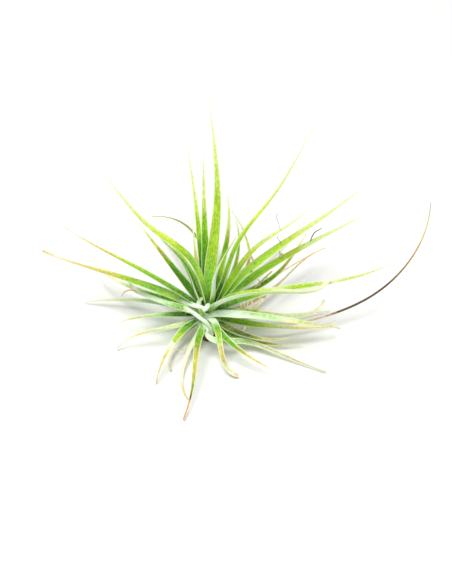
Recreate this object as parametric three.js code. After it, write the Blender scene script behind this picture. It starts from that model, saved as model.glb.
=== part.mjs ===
// Stricta air plant (Tillandsia stricta), a rootless rosette that stands on its stem and lowest leaves.
// Millimetres and degrees, +Z up. The origin is the centre of the stem's cut foot, on what it stands on.
// Bearings turn clockwise from +Y, the back, as seen from above, so 90 is +X, the right side.
import * as THREE from "three";

// ---- Driving dimensions -------------------------------------------------------------------------
const CROWN_CENTRE_Z = 15; // the crown is the swollen end of the stem that every leaf grows from
const CROWN_RADIUS = 6.5;
const CROWN_HALF_HEIGHT = 9;
const CROWN_STEPS = 9;
const FOOT_RADIUS = 3.8; // the flat cut that the plant stands on
const NECK_RADIUS = 3.3;
const NECK_Z = 4;
const STEM_SIDES = 28;

const LEAF_SEAT_GAP = 0.35; // between a leaf's foot and the crown
const FOOT_SHARE = 0.46; // a leaf's width at its foot, as a share of its greatest width
const WIDEST_AT = 0.2; // where a leaf is widest, as a share of its length
const TAPER_POWER = 0.75; // 1 tapers evenly to the tip, and less keeps a leaf fuller on the way
const BLADE_THICKNESS = 0.85;
const TIP_THICKNESS = 0.62;
const TIP_WIDTH = 0.7;
const CHANNEL_DEPTH = 0.5; // how far a blade's edges rise, as a share of its half width
const STATION_SPACING = 6;
const FEWEST_STATIONS = 8;
const MIDRIB_STEPS = 60;

// ---- Skinning: a blade's section has corners 0 to 2 on its upper face and 3 to 5 on its lower ----
const LOWER_SIDES = [3, 4]; // the sides, counted from their first corner, that make up the lower face
const END_TRIANGLES = [[0, 5, 1], [1, 5, 4], [1, 4, 2], [2, 4, 3]];

// ---- Materials ----------------------------------------------------------------------------------
const greenLeaf = new THREE.MeshStandardMaterial({ name: "green_leaf", color: 0x7fb53a, roughness: 0.6 });
const dryLeaf = new THREE.MeshStandardMaterial({ name: "dry_leaf", color: 0xc9a86a, roughness: 0.85 });
const stemBark = new THREE.MeshStandardMaterial({ name: "stem_bark", color: 0x6b4a2c, roughness: 0.9 });

// ---- The leaves ---------------------------------------------------------------------------------
// Name, length, greatest width, then the headings [bearing, rise] that the midrib takes, spaced
// evenly along its length.
const GREEN_LEAVES = [
  ["leaf_inner_1", 103, 6.2, [6, 67], [14, 61], [-7, 52], [-11, 45]],
  ["leaf_inner_2", 95, 6, [-80, 82], [-100, 74], [-74, 33], [-44, 23], [-35, 16]],
  ["leaf_inner_3", 108, 4.6, [75, 65], [60, 73], [51, 34], [36, 32], [34, 32]],
  ["leaf_inner_4", 43, 4.4, [112, 76], [69, 87], [39, 40], [25, 4]],
  ["leaf_inner_5", 76, 6.6, [138, 62], [97, 20], [73, -18], [22, -5]],
  ["leaf_inner_6", 46, 6, [-90, 66], [-39, 63], [-48, 23], [-40, 8]],
  ["leaf_back_1", 80, 3.8, [-10, 45], [-8, 40], [-14, 37]],
  ["leaf_back_2", 75, 4.6, [-5, 57], [0, 60]],
  ["leaf_back_3", 57, 4.4, [28, 52], [20, 57], [-16, 46]],
  ["leaf_back_4", 51, 3, [39, 22], [15, 30], [-25, 33]],
  ["leaf_back_5", 60, 3, [32, 8], [41, 16], [-15, 33], [-66, 50]],
  ["leaf_back_6", 54, 4.4, [-52, 41], [-42, 25], [-34, 11]],
  ["leaf_right_1", 72, 4.8, [68, 54], [60, 53], [64, 20], [47, 18]],
  ["leaf_right_2", 98, 5.6, [60, 44], [65, 24], [52, 15]],
  ["leaf_right_3", 91, 5.4, [58, 28], [65, 17], [64, 10]],
  ["leaf_right_4", 66, 3.8, [57, 11], [60, 8], [39, 19], [30, 24]],
  ["leaf_right_5", 95, 4.8, [86, 30], [78, -1], [53, -3]],
  ["leaf_right_6", 70, 5.4, [126, 31], [93, -8], [58, -37]],
  ["leaf_right_7", 61, 4.6, [103, 22], [98, -2], [71, -12], [17, 4]],
  ["leaf_right_8", 61, 4.4, [110, 2], [89, -6], [69, -16]],
  ["leaf_left_1", 99, 4.4, [-96, 49], [-56, 3], [-20, -30]],
  ["leaf_left_2", 102, 5.4, [-88, 35], [-60, -8], [-35, -25]],
  ["leaf_left_3", 54, 6, [-124, 36], [-62, -1], [-40, -21], [-8, -3]],
  ["leaf_left_4", 82, 3.4, [-75, 15], [-58, -8], [-40, -11], [-9, 1]],
  ["leaf_left_5", 64, 3.6, [-67, 1], [-71, -13], [-74, -25]],
  ["leaf_left_6", 47, 3.8, [-99, 11], [-79, -18], [-63, -47]],
  ["leaf_left_7", 45, 3.2, [-115, -2], [-95, -11], [-103, -53]],
  ["leaf_front_1", 42, 4.2, [-134, 12], [-144, -24], [-162, -57]],
  ["leaf_front_2", 56, 3.6, [-164, 10], [-175, -22], [-157, -24]],
  ["leaf_front_3", 34, 3.4, [156, 15], [170, -30], [153, -45], [100, -12]],
  ["leaf_front_4", 40, 3.6, [154, -1], [125, -15], [100, -26]],
  ["leaf_front_5", 72, 3.4, [191, -1], [70, -17], [108, -10], [114, -8], [112, -3]],
  ["leaf_front_6", 40, 3.8, [125, -8], [97, -11], [63, -5]],
  ["leaf_front_7", 45, 3.4, [126, -27], [100, -9], [90, -8], [77, -2]],
  ["leaf_under_1", 79, 4.6, [-16, 4], [-26, -24]],
  ["leaf_under_2", 70, 4.6, [4, 0], [2, -23]],
  ["leaf_under_3", 74, 4.4, [27, -4], [38, -16]],
  ["leaf_under_4", 62, 4.2, [-46, -5], [-58, -18]],
  ["leaf_under_5", 60, 4, [80, -13], [68, -10]],
];
const DRY_LEAVES = [
  ["leaf_dry_1", 43, 2.4, [-20, 37], [-10, 44], [-8, 48]],
  ["leaf_dry_2", 64, 2.2, [-2, 22], [-10, 37], [-43, 6], [-94, -5]],
  ["leaf_dry_3", 73, 2, [64, -11], [51, 2], [41, 9], [57, -6]],
  ["leaf_dry_4", 67, 2, [50, -1], [48, -2], [50, -1]],
  ["leaf_dry_5", 140, 2, [98, -15], [80, 1], [69, 14], [44, 28], [5, 41]],
  ["leaf_dry_6", 44, 2.4, [-147, -22], [-157, -18], [-179, -11], [-213, 1]],
  ["leaf_dry_7", 31, 2, [-109, -25], [-149, -16], [-198, -14]],
  ["leaf_dry_8", 20, 1.8, [-154, -44], [-125, -14], [-85, 22]],
];

// The direction of a heading.
function directionOf([bearing, rise]) {
  const turn = THREE.MathUtils.degToRad(bearing);
  const pitch = THREE.MathUtils.degToRad(rise);
  const flat = Math.cos(pitch);
  return new THREE.Vector3(Math.sin(turn) * flat, Math.cos(turn) * flat, Math.sin(pitch));
}

// The foot of a leaf that leaves the crown in a direction: just clear of the crown's skin.
function footOf(direction) {
  const reach = new THREE.Vector3(CROWN_RADIUS, CROWN_RADIUS, CROWN_HALF_HEIGHT);
  const foot = direction.clone().multiply(reach).addScaledVector(direction, LEAF_SEAT_GAP);
  foot.z += CROWN_CENTRE_Z;
  return foot;
}

// A leaf's midrib: its headings are blended by a smooth spline and walked in short steps.
function midribOf(length, headings) {
  const directions = headings.map(directionOf);
  const first = directions[0];
  const last = directions.at(-1);
  directions.unshift(first.clone().multiplyScalar(2).sub(directions[1]));
  directions.push(last.clone().multiplyScalar(2).sub(directions.at(-2)));
  const spans = headings.length - 1;
  const point = footOf(first);
  const points = [point.clone()];
  for (let i = 0; i < MIDRIB_STEPS; i++) {
    const place = ((i + 0.5) / MIDRIB_STEPS) * spans;
    const span = Math.floor(place);
    const [before, from, to, after] = directions.slice(span, span + 4);
    const heading = new THREE.Vector3();
    for (const axis of ["x", "y", "z"])
      heading[axis] = blend(place - span, before[axis], from[axis], to[axis], after[axis]);
    point.addScaledVector(heading.normalize(), length / MIDRIB_STEPS);
    points.push(point.clone());
  }
  return new THREE.CatmullRomCurve3(points);
}

// A uniform Catmull-Rom spline through b and c, at a share t of the way between them.
function blend(t, a, b, c, d) {
  const cubic = (-a + 3 * b - 3 * c + d) * t ** 3;
  const square = (2 * a - 5 * b + 4 * c - d) * t ** 2;
  return (2 * b + (c - a) * t + square + cubic) / 2;
}

// A blade's half width at a share of its length: it swells out of its foot, then tapers to its tip.
function halfWidth(share, width) {
  const swell = FOOT_SHARE + (1 - FOOT_SHARE) * Math.min(1, share / WIDEST_AT);
  const taper = share < WIDEST_AT ? 1 : Math.pow((1 - share) / (1 - WIDEST_AT), TAPER_POWER);
  return Math.max(TIP_WIDTH, width * swell * taper) / 2;
}

// The six corners of a blade's section: left edge, midrib and right edge above, then the same below.
function sectionOf(share, width, { point, across, up }) {
  const half = halfWidth(share, width);
  const rise = CHANNEL_DEPTH * half * (1 - share);
  const thickness = THREE.MathUtils.lerp(BLADE_THICKNESS, TIP_THICKNESS, share);
  const corner = (x, z) => point.clone().addScaledVector(across, x).addScaledVector(up, z);
  const upper = [corner(-half, rise), corner(0, 0), corner(half, rise)];
  const lower = [corner(half, rise - thickness), corner(0, -thickness), corner(-half, rise - thickness)];
  return [...upper, ...lower];
}

// A leaf: a channelled blade along its midrib, with its edges raised on the upper face.
function leafGeometry(length, width, headings) {
  const midrib = midribOf(length, headings);
  const count = Math.max(FEWEST_STATIONS, Math.round(length / STATION_SPACING));
  const { x, y } = directionOf(headings[0]);
  let across = new THREE.Vector3(y, -x, 0);
  const sections = [];
  for (let i = 0; i <= count; i++) {
    const share = i / count;
    const tangent = midrib.getTangentAt(share);
    across = across.clone().addScaledVector(tangent, -across.dot(tangent)).normalize();
    const up = across.clone().cross(tangent);
    sections.push(sectionOf(share, width, { point: midrib.getPointAt(share), across, up }));
  }
  return skin(sections);
}

// A closed skin over a run of six-cornered sections, split alike on the two faces, with its two ends closed.
function skin(sections) {
  const corners = sections[0].length;
  const faces = [];
  for (let i = 0; i + 1 < sections.length; i++)
    for (let k = 0; k < corners; k++) {
      const a = i * corners + k;
      const b = i * corners + ((k + 1) % corners);
      const [aNext, bNext] = [a + corners, b + corners];
      if (LOWER_SIDES.includes(k)) faces.push(a, b, aNext, b, bNext, aNext);
      else faces.push(a, b, bNext, a, bNext, aNext);
    }
  const end = (sections.length - 1) * corners;
  for (const [a, b, c] of END_TRIANGLES) {
    faces.push(a, b, c);
    faces.push(end + a, end + c, end + b);
  }
  const places = sections.flat().flatMap((corner) => corner.toArray());
  const geometry = new THREE.BufferGeometry();
  geometry.setAttribute("position", new THREE.Float32BufferAttribute(places, 3));
  geometry.setIndex(faces);
  geometry.computeVertexNormals();
  return geometry;
}

// ---- The stem: a flat foot, a short neck and the crown ------------------------------------------
function stemGeometry() {
  const profile = [new THREE.Vector2(0, 0), new THREE.Vector2(FOOT_RADIUS, 0)];
  profile.push(new THREE.Vector2(NECK_RADIUS, NECK_Z));
  const lowest = -Math.acos(NECK_RADIUS / CROWN_RADIUS);
  for (let i = 0; i < CROWN_STEPS; i++) {
    const angle = THREE.MathUtils.lerp(lowest, Math.PI / 2, i / CROWN_STEPS);
    const height = CROWN_CENTRE_Z + CROWN_HALF_HEIGHT * Math.sin(angle);
    profile.push(new THREE.Vector2(CROWN_RADIUS * Math.cos(angle), height));
  }
  profile.push(new THREE.Vector2(0, CROWN_CENTRE_Z + CROWN_HALF_HEIGHT));
  return new THREE.LatheGeometry(profile, STEM_SIDES).rotateX(Math.PI / 2);
}

// ---- Assembly -----------------------------------------------------------------------------------
const plant = new THREE.Group();

function add(name, geometry, material) {
  const mesh = new THREE.Mesh(geometry, material);
  mesh.name = name;
  plant.add(mesh);
}

add("stem", stemGeometry(), stemBark);
for (const [name, length, width, ...headings] of GREEN_LEAVES)
  add(name, leafGeometry(length, width, headings), greenLeaf);
for (const [name, length, width, ...headings] of DRY_LEAVES)
  add(name, leafGeometry(length, width, headings), dryLeaf);

export default plant;
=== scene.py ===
"""Stricta air plant: the finished leaves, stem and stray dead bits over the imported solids.

Lengths are in millimetres and angles in degrees until METRES_PER_MM turns the lengths into
metres. +X is right, +Y is back and +Z is up, with the stem's cut foot at zero.
"""

import logging
import math
from dataclasses import dataclass, field
from enum import Enum
from typing import ClassVar

import bpy
import numpy as np
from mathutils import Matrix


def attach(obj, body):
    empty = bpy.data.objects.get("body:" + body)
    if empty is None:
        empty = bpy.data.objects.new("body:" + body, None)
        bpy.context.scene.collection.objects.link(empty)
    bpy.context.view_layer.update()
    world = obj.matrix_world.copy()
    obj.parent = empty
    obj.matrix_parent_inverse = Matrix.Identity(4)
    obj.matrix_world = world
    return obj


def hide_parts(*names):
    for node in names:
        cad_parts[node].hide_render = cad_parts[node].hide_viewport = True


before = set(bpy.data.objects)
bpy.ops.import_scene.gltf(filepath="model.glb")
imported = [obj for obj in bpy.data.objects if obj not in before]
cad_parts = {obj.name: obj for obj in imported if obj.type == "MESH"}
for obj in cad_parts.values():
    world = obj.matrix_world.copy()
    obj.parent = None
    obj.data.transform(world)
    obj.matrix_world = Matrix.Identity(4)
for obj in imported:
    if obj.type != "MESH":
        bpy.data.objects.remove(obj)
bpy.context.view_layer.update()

LOG = logging.getLogger("air_plant")
METRES_PER_MM = 0.001
BODY = "root"

# The crown that carries every leaf, and where a leaf is widest, as the solids have them
CROWN_CENTRE_Z = 15.0
CROWN_RADIUS = 6.5
CROWN_HALF_HEIGHT = 9.0
FOOT_RADIUS = 3.8
NECK_RADIUS = 3.3
NECK_Z = 4.0
WIDEST_AT = 0.2

# How finely the blades are drawn
BLADE_STATIONS = 64
WISP_STATIONS = 28
BLADE_COLUMNS = 9
MIDRIB_STEPS = 240
ROOT_STEPS = 24
TIP_CROWDING = 1.25

# Where the sheaths start: in the heart, or under the crown's skin where a leaf stands upright
HEART_RADIUS = 1.2
HEART_Z = 17.5
ROOTED = 3.5
UPRIGHT_RISE = 45.0

# A blade's form: where its columns stand from rim to rim, how much thinner its rims are, how
# much narrower its sheath starts, where its fold settles, the channel's curve, and how blunt
# its end is
COLUMNS = np.sin(np.linspace(-0.5, 0.5, BLADE_COLUMNS) * math.pi)
RIM_THINNING = 0.6
SHEATH_NARROWING = 0.45
FOLD_SETTLED = 0.6
CHANNEL_POWER = 1.3
BLADE_END = 0.02

# The ripple along a blade: its height, its turns in radians, how soon it is full and how much
# of it changes from rim to rim
RIPPLE = 0.18
RIPPLE_TURNS = 17
RIPPLE_ONSET = 4
RIPPLE_LEAN = 0.6

# A strip's form: how its rims rise, how blunt its ends are, its greatest thickness as a share
# of its width, and the way that its upper face looks at the start
STRIP_POWER = 1.5
STRIP_END = 0.04
STRIP_THICKEST = 0.8
STRIP_FACING = (0.0, -0.7, 0.7)

# How far a leaf's colours wander along it, as a share of its length, how far apart a blade's
# two faces lie in the patterns, and where the patterns' seeds wrap
WANDER = 0.12
LAYER_APART = 20.0
SEED_SPAN = 9.7

# What the nodes that mix or ease have in common
COVER = {"data_type": "RGBA"}
SOFTEN = {"data_type": "RGBA", "blend_type": "SOFT_LIGHT"}
SMOOTH = {"interpolation_type": "SMOOTHSTEP"}


class Hue(Enum):
    """Colours that the leaf tissue takes from the sheath to the withered tip, as sRGB hex, and two
    dark greens of painted shade.
    """

    SHEATH = "e4f3de"
    SILVER = "b2d294"
    LIME = "abcb3c"
    FRESH = "93c02c"
    SPRING = "9bd04c"
    LEAF = "7cb024"
    VIVID = "c2ec4a"
    CITRUS = "cbdd58"
    APPLE = "d2f482"
    DEEP = "60981a"
    # Painted shade: the darker green of leaf bases where the heart shades them
    SHADE = "47800f"
    MOSS = "66762c"
    # Painted shade: the near-black green of the hollow between the youngest leaves
    PAINTED_HOLLOW_SHADE = "0f3a05"
    OLIVE = "8f9a3a"
    WILLOW = "a6ae50"
    YELLOW = "ccc668"
    LEMON = "c9da84"
    PALE = "dbe6ba"
    MINT = "e2f4ac"
    SAGE = "cbcea8"
    BUTTER = "dccf90"
    CREAM = "efe6cc"
    IVORY = "fcf4de"
    PEACH = "eac4a0"
    ORANGE = "d8883a"
    PINK = "f0d2c0"
    STRAW = "e0c488"
    SAND = "cbb480"
    TAN = "b48c4a"
    UMBER = "5c4834"
    BROWN = "6e4a26"
    GREY = "a9a79a"


# Colour sequences that several pieces share
DEEP_BLADE = "LEAF 0, DEEP 12, LEAF 34, FRESH 50, LEMON 66, PALE 100"
GREEN_BLADE = "LEAF 12, FRESH 34, LEMON 56, PALE 100"
OLD_SHEATH = "SILVER 0, SHEATH 20"
PALE_FLAP = "SHEATH 0, SILVER 50, LEMON 100"
DEAD_THREAD = "BUTTER 0, CREAM 50, BUTTER 100"
BROKEN_THREAD = "CREAM 0, STRAW 100"
GREY_CURL = "GREY 0, GREY 100"


def linear(shade: str) -> tuple[float, float, float, float]:
    """Turns an sRGB hex colour into the linear colour that a shader takes, by sRGB's own curve.

    Args:
        shade: six hex digits, red first.

    Returns:
        Red, green, blue and an alpha of one.
    """
    parts = [int(shade[start:start + 2], 16) / 255 for start in (0, 2, 4)]
    red, green, blue = (p / 12.92 if p <= 0.04045 else ((p + 0.055) / 1.055) ** 2.4 for p in parts)
    return (red, green, blue, 1.0)


def ramp_stops(tones: str) -> tuple[tuple[float, str], ...]:
    """Reads a colour sequence.

    Args:
        tones: at least two names of hues, each with its place from base to tip in percent.

    Returns:
        Pairs of place, as a share, and hex colour.
    """
    pairs = (entry.split() for entry in tones.split(", "))
    return tuple((int(percent) / 100, Hue[name].value) for name, percent in pairs)


def add(tree: bpy.types.NodeTree, kind: str, inputs: dict | tuple = (), stops: tuple = (),
        **settings: object) -> bpy.types.Node:
    """Adds one shader node with its settings and links.

    Args:
        tree: the node tree that takes the node.
        kind: the node's type, without its ShaderNode prefix.
        inputs: values by socket name, or a row of them for the sockets in use, in their order.
            A value is a plain one, a socket, or a node, which gives its first output in use.
        stops: for a colour ramp, pairs of place and hex colour.
        settings: the node's own options.

    Returns:
        The new node.
    """
    made = tree.nodes.new("ShaderNode" + kind)
    for option, value in settings.items():
        setattr(made, option, value)
    for place, (share, shade) in enumerate(stops):
        # A new ramp already has two stops, so only the ones after them are new
        row = made.color_ramp.elements
        stop = row[place] if place < 2 else row.new(share)
        stop.position = share
        stop.color = linear(shade)
    if isinstance(inputs, dict):
        pairs = [(made.inputs[name], value) for name, value in inputs.items()]
    else:
        pairs = zip([socket for socket in made.inputs if socket.enabled], inputs)
    for socket, value in pairs:
        if isinstance(value, bpy.types.Node):
            value = next(output for output in value.outputs if output.enabled)
        if isinstance(value, bpy.types.NodeSocket):
            tree.links.new(value, socket)
        else:
            socket.default_value = value
    return made


def blank_material(name: str) -> tuple[bpy.types.Material, bpy.types.NodeTree]:
    """Makes a material whose node tree is empty.

    Args:
        name: the material's name.

    Returns:
        The material and its tree.
    """
    made = bpy.data.materials.new(name)
    made.use_nodes = True
    made.node_tree.nodes.clear()
    return made, made.node_tree


def direction(headings: np.ndarray) -> np.ndarray:
    """Unit directions of bearings and rises: (sin b cos r, cos b cos r, sin r).

    Args:
        headings: rows of bearing, clockwise from +Y, and rise above level, in degrees.

    Returns:
        One unit vector a row.
    """
    bearing, rise = np.radians(headings[..., 0]), np.radians(headings[..., 1])
    flat = np.cos(rise)
    return np.stack([np.sin(bearing) * flat, np.cos(bearing) * flat, np.sin(rise)], axis=-1)


def unit(vectors: np.ndarray) -> np.ndarray:
    """Scales each vector to a length of one."""
    return vectors / np.linalg.norm(vectors, axis=-1, keepdims=True)


def eased(share: np.ndarray) -> np.ndarray:
    """Runs smoothly from 0 to 1: 3 t squared less 2 t cubed, with t held between 0 and 1."""
    held = np.clip(share, 0.0, 1.0)
    return held * held * (3 - 2 * held)


def gone_along(line: np.ndarray) -> np.ndarray:
    """Each point's distance from the first, measured along the line."""
    return np.concatenate([[0.0], np.cumsum(np.linalg.norm(np.diff(line, axis=0), axis=1))])


def smooth_route(points: np.ndarray, steps: int) -> np.ndarray:
    """A curve through the points, as a Catmull-Rom spline worked out for all its steps at once.

    Args:
        points: the points that the curve passes through.
        steps: how many points the curve gets.

    Returns:
        The curve's points, from the first given point to the last.
    """
    knots = np.vstack([2 * points[0] - points[1], points, 2 * points[-1] - points[-2]])
    place = np.linspace(0.0, len(points) - 1, steps)
    span = np.minimum(place.astype(int), len(points) - 2)
    part = (place - span)[:, None]
    before, start, end, after = (knots[span + shift] for shift in range(4))
    return 0.5 * (2 * start + (end - before) * part
                  + (2 * before - 5 * start + 4 * end - after) * part ** 2
                  + (3 * start - before - 3 * end + after) * part ** 3)


def carried_frame(tangents: np.ndarray, first: np.ndarray) -> tuple[np.ndarray, np.ndarray]:
    """Carries a sideways direction along a path so that it never twists about the path.

    Args:
        tangents: unit directions along the path, one a station.
        first: the sideways direction at the path's start.

    Returns:
        The sideways and the upward direction at each station.
    """
    across = np.empty_like(tangents)
    carried = first
    for station, tangent in enumerate(tangents):
        carried = unit(carried - tangent * (carried @ tangent))
        across[station] = carried
    return across, np.cross(across, tangents)


def skinned(name: str, rings: np.ndarray, traits: dict[str, np.ndarray]) -> bpy.types.Object:
    """Makes one closed smooth mesh from rings of points that follow each other along a path.

    Neighbouring rings are joined by four-sided faces, and each end ring is closed by the faces
    that join its first half to its second half, read backwards. All of them are turned round
    if more of them look in than out.

    Args:
        name: the new object's name.
        rings: points in millimetres, as rings by points a ring by three; points a ring is even.
        traits: named vectors, one a point, which the finishes read.

    Returns:
        The new object, linked to the scene.
    """
    count, round_ = rings.shape[:2]
    row = np.arange(count - 1)[:, None] * round_
    here = np.arange(round_)[None, :]
    beside = (here + 1) % round_
    sides = np.stack([row + here, row + beside, row + round_ + beside, row + round_ + here],
                     axis=-1).reshape(-1, 4)
    half = np.arange(round_ // 2 - 1)
    cap = np.stack([half, round_ - 1 - half, round_ - 2 - half, half + 1], axis=-1)
    end = (cap + (count - 1) * round_)[:, ::-1]
    faces = np.vstack([sides, cap, end])
    points = rings.reshape(-1, 3)
    corners = points[faces]
    middle = points.mean(axis=0)
    slant = np.cross(corners[:, 2] - corners[:, 0], corners[:, 3] - corners[:, 1])
    if np.einsum("ij,ij->i", corners.mean(axis=1) - middle, slant).sum() < 0:
        faces = faces[:, ::-1]
    mesh = bpy.data.meshes.new(name)
    mesh.from_pydata((points * METRES_PER_MM).tolist(), [], faces.tolist())
    mesh.polygons.foreach_set("use_smooth", np.ones(len(faces), dtype=bool))
    for trait, values in traits.items():
        layer = mesh.attributes.new(trait, "FLOAT_VECTOR", "POINT")
        layer.data.foreach_set("vector", values.reshape(-1).astype(np.float32))
    mesh.update()
    made = bpy.data.objects.new(name, mesh)
    bpy.context.scene.collection.objects.link(made)
    return made


def folded_skin(line: np.ndarray, frames: tuple[np.ndarray, np.ndarray], half: np.ndarray,
                lift: np.ndarray, depth: np.ndarray, share: np.ndarray, reach: np.ndarray
                ) -> tuple[np.ndarray, dict[str, np.ndarray]]:
    """The skin of a thin folded strip: at each station the upper face, then the lower one back.

    The columns stand at the sines of even steps, so that they crowd at the rims, and the
    thickness falls from the middle to the rims as one less RIM_THINNING v squared.

    Args:
        line: the strip's middle, one point a station.
        frames: the sideways and the upward direction at each station.
        half: half the strip's width at each station.
        lift: how far each column stands above the middle, as stations by columns.
        depth: the thickness in the middle at each station.
        share: each station's place, 0 at the start and 1 at the tip.
        reach: each station's distance along the strip in millimetres.

    Returns:
        The rings' points, and the traits that the finishes read.
    """
    side, up = (way[:, None, :] for way in frames)
    upper = line[:, None, :] + side * (half[:, None] * COLUMNS)[..., None] + up * lift[..., None]
    thick = depth[:, None] * (1 - RIM_THINNING * COLUMNS ** 2)
    lower = upper - up * thick[..., None]
    rings = np.concatenate([upper, lower[:, ::-1]], axis=1)
    shape = rings.shape[:2]
    columns = np.broadcast_to(np.concatenate([COLUMNS, COLUMNS[::-1]]), shape)
    below = np.broadcast_to(np.repeat([0.0, 1.0], BLADE_COLUMNS), shape)
    width = half[:, None]
    rim = width * (1 - np.abs(columns))
    return rings, {
        "leaf_place": np.stack([columns, np.broadcast_to(share[:, None], shape), below], axis=-1),
        "leaf_mm": np.stack([width * columns, np.broadcast_to(reach[:, None], shape),
                             below * LAYER_APART], axis=-1),
        "leaf_rim": np.stack([rim, rim, rim], axis=-1)}


def leaf_material(name: str, seed: float, shift: tuple[float, float, float], tones: str,
                  clouds_per_mm: float
                  ) -> tuple[bpy.types.Material, bpy.types.NodeTree, list[bpy.types.NodeSocket],
                             bpy.types.NodeSocket, bpy.types.Node, bpy.types.Node]:
    """Starts a leaf's material, with its colour sequence laid unevenly from base to tip.

    Args:
        name: the material's name.
        seed: moves the patterns, so that no two leaves carry the same.
        shift: how far a seed of one moves them, in millimetres.
        tones: the colour sequence.
        clouds_per_mm: how close together the unevenness changes.

    Returns:
        The material, its tree, the sockets for the place across the blade, along it and under
        it, the socket for the same in millimetres, the patterns' coordinates, and the colour.
    """
    made, tree = blank_material(name)
    place = add(tree, "SeparateXYZ", (
        add(tree, "Attribute", attribute_name="leaf_place").outputs["Vector"],))
    in_mm = add(tree, "Attribute", attribute_name="leaf_mm").outputs["Vector"]
    skin = add(tree, "Mapping", {
        "Vector": in_mm, "Location": tuple(seed * part for part in shift)})
    cloud = add(tree, "TexNoise", {"Vector": skin, "Scale": clouds_per_mm, "Detail": 3.0})
    uneven = add(tree, "Math", (cloud, WANDER, -WANDER / 2), operation="MULTIPLY_ADD")
    shifted = add(tree, "Math", (place.outputs["Y"], uneven), operation="ADD")
    body = add(tree, "ValToRGB", (shifted,), stops=ramp_stops(tones))
    return made, tree, list(place.outputs), in_mm, skin, body


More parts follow.
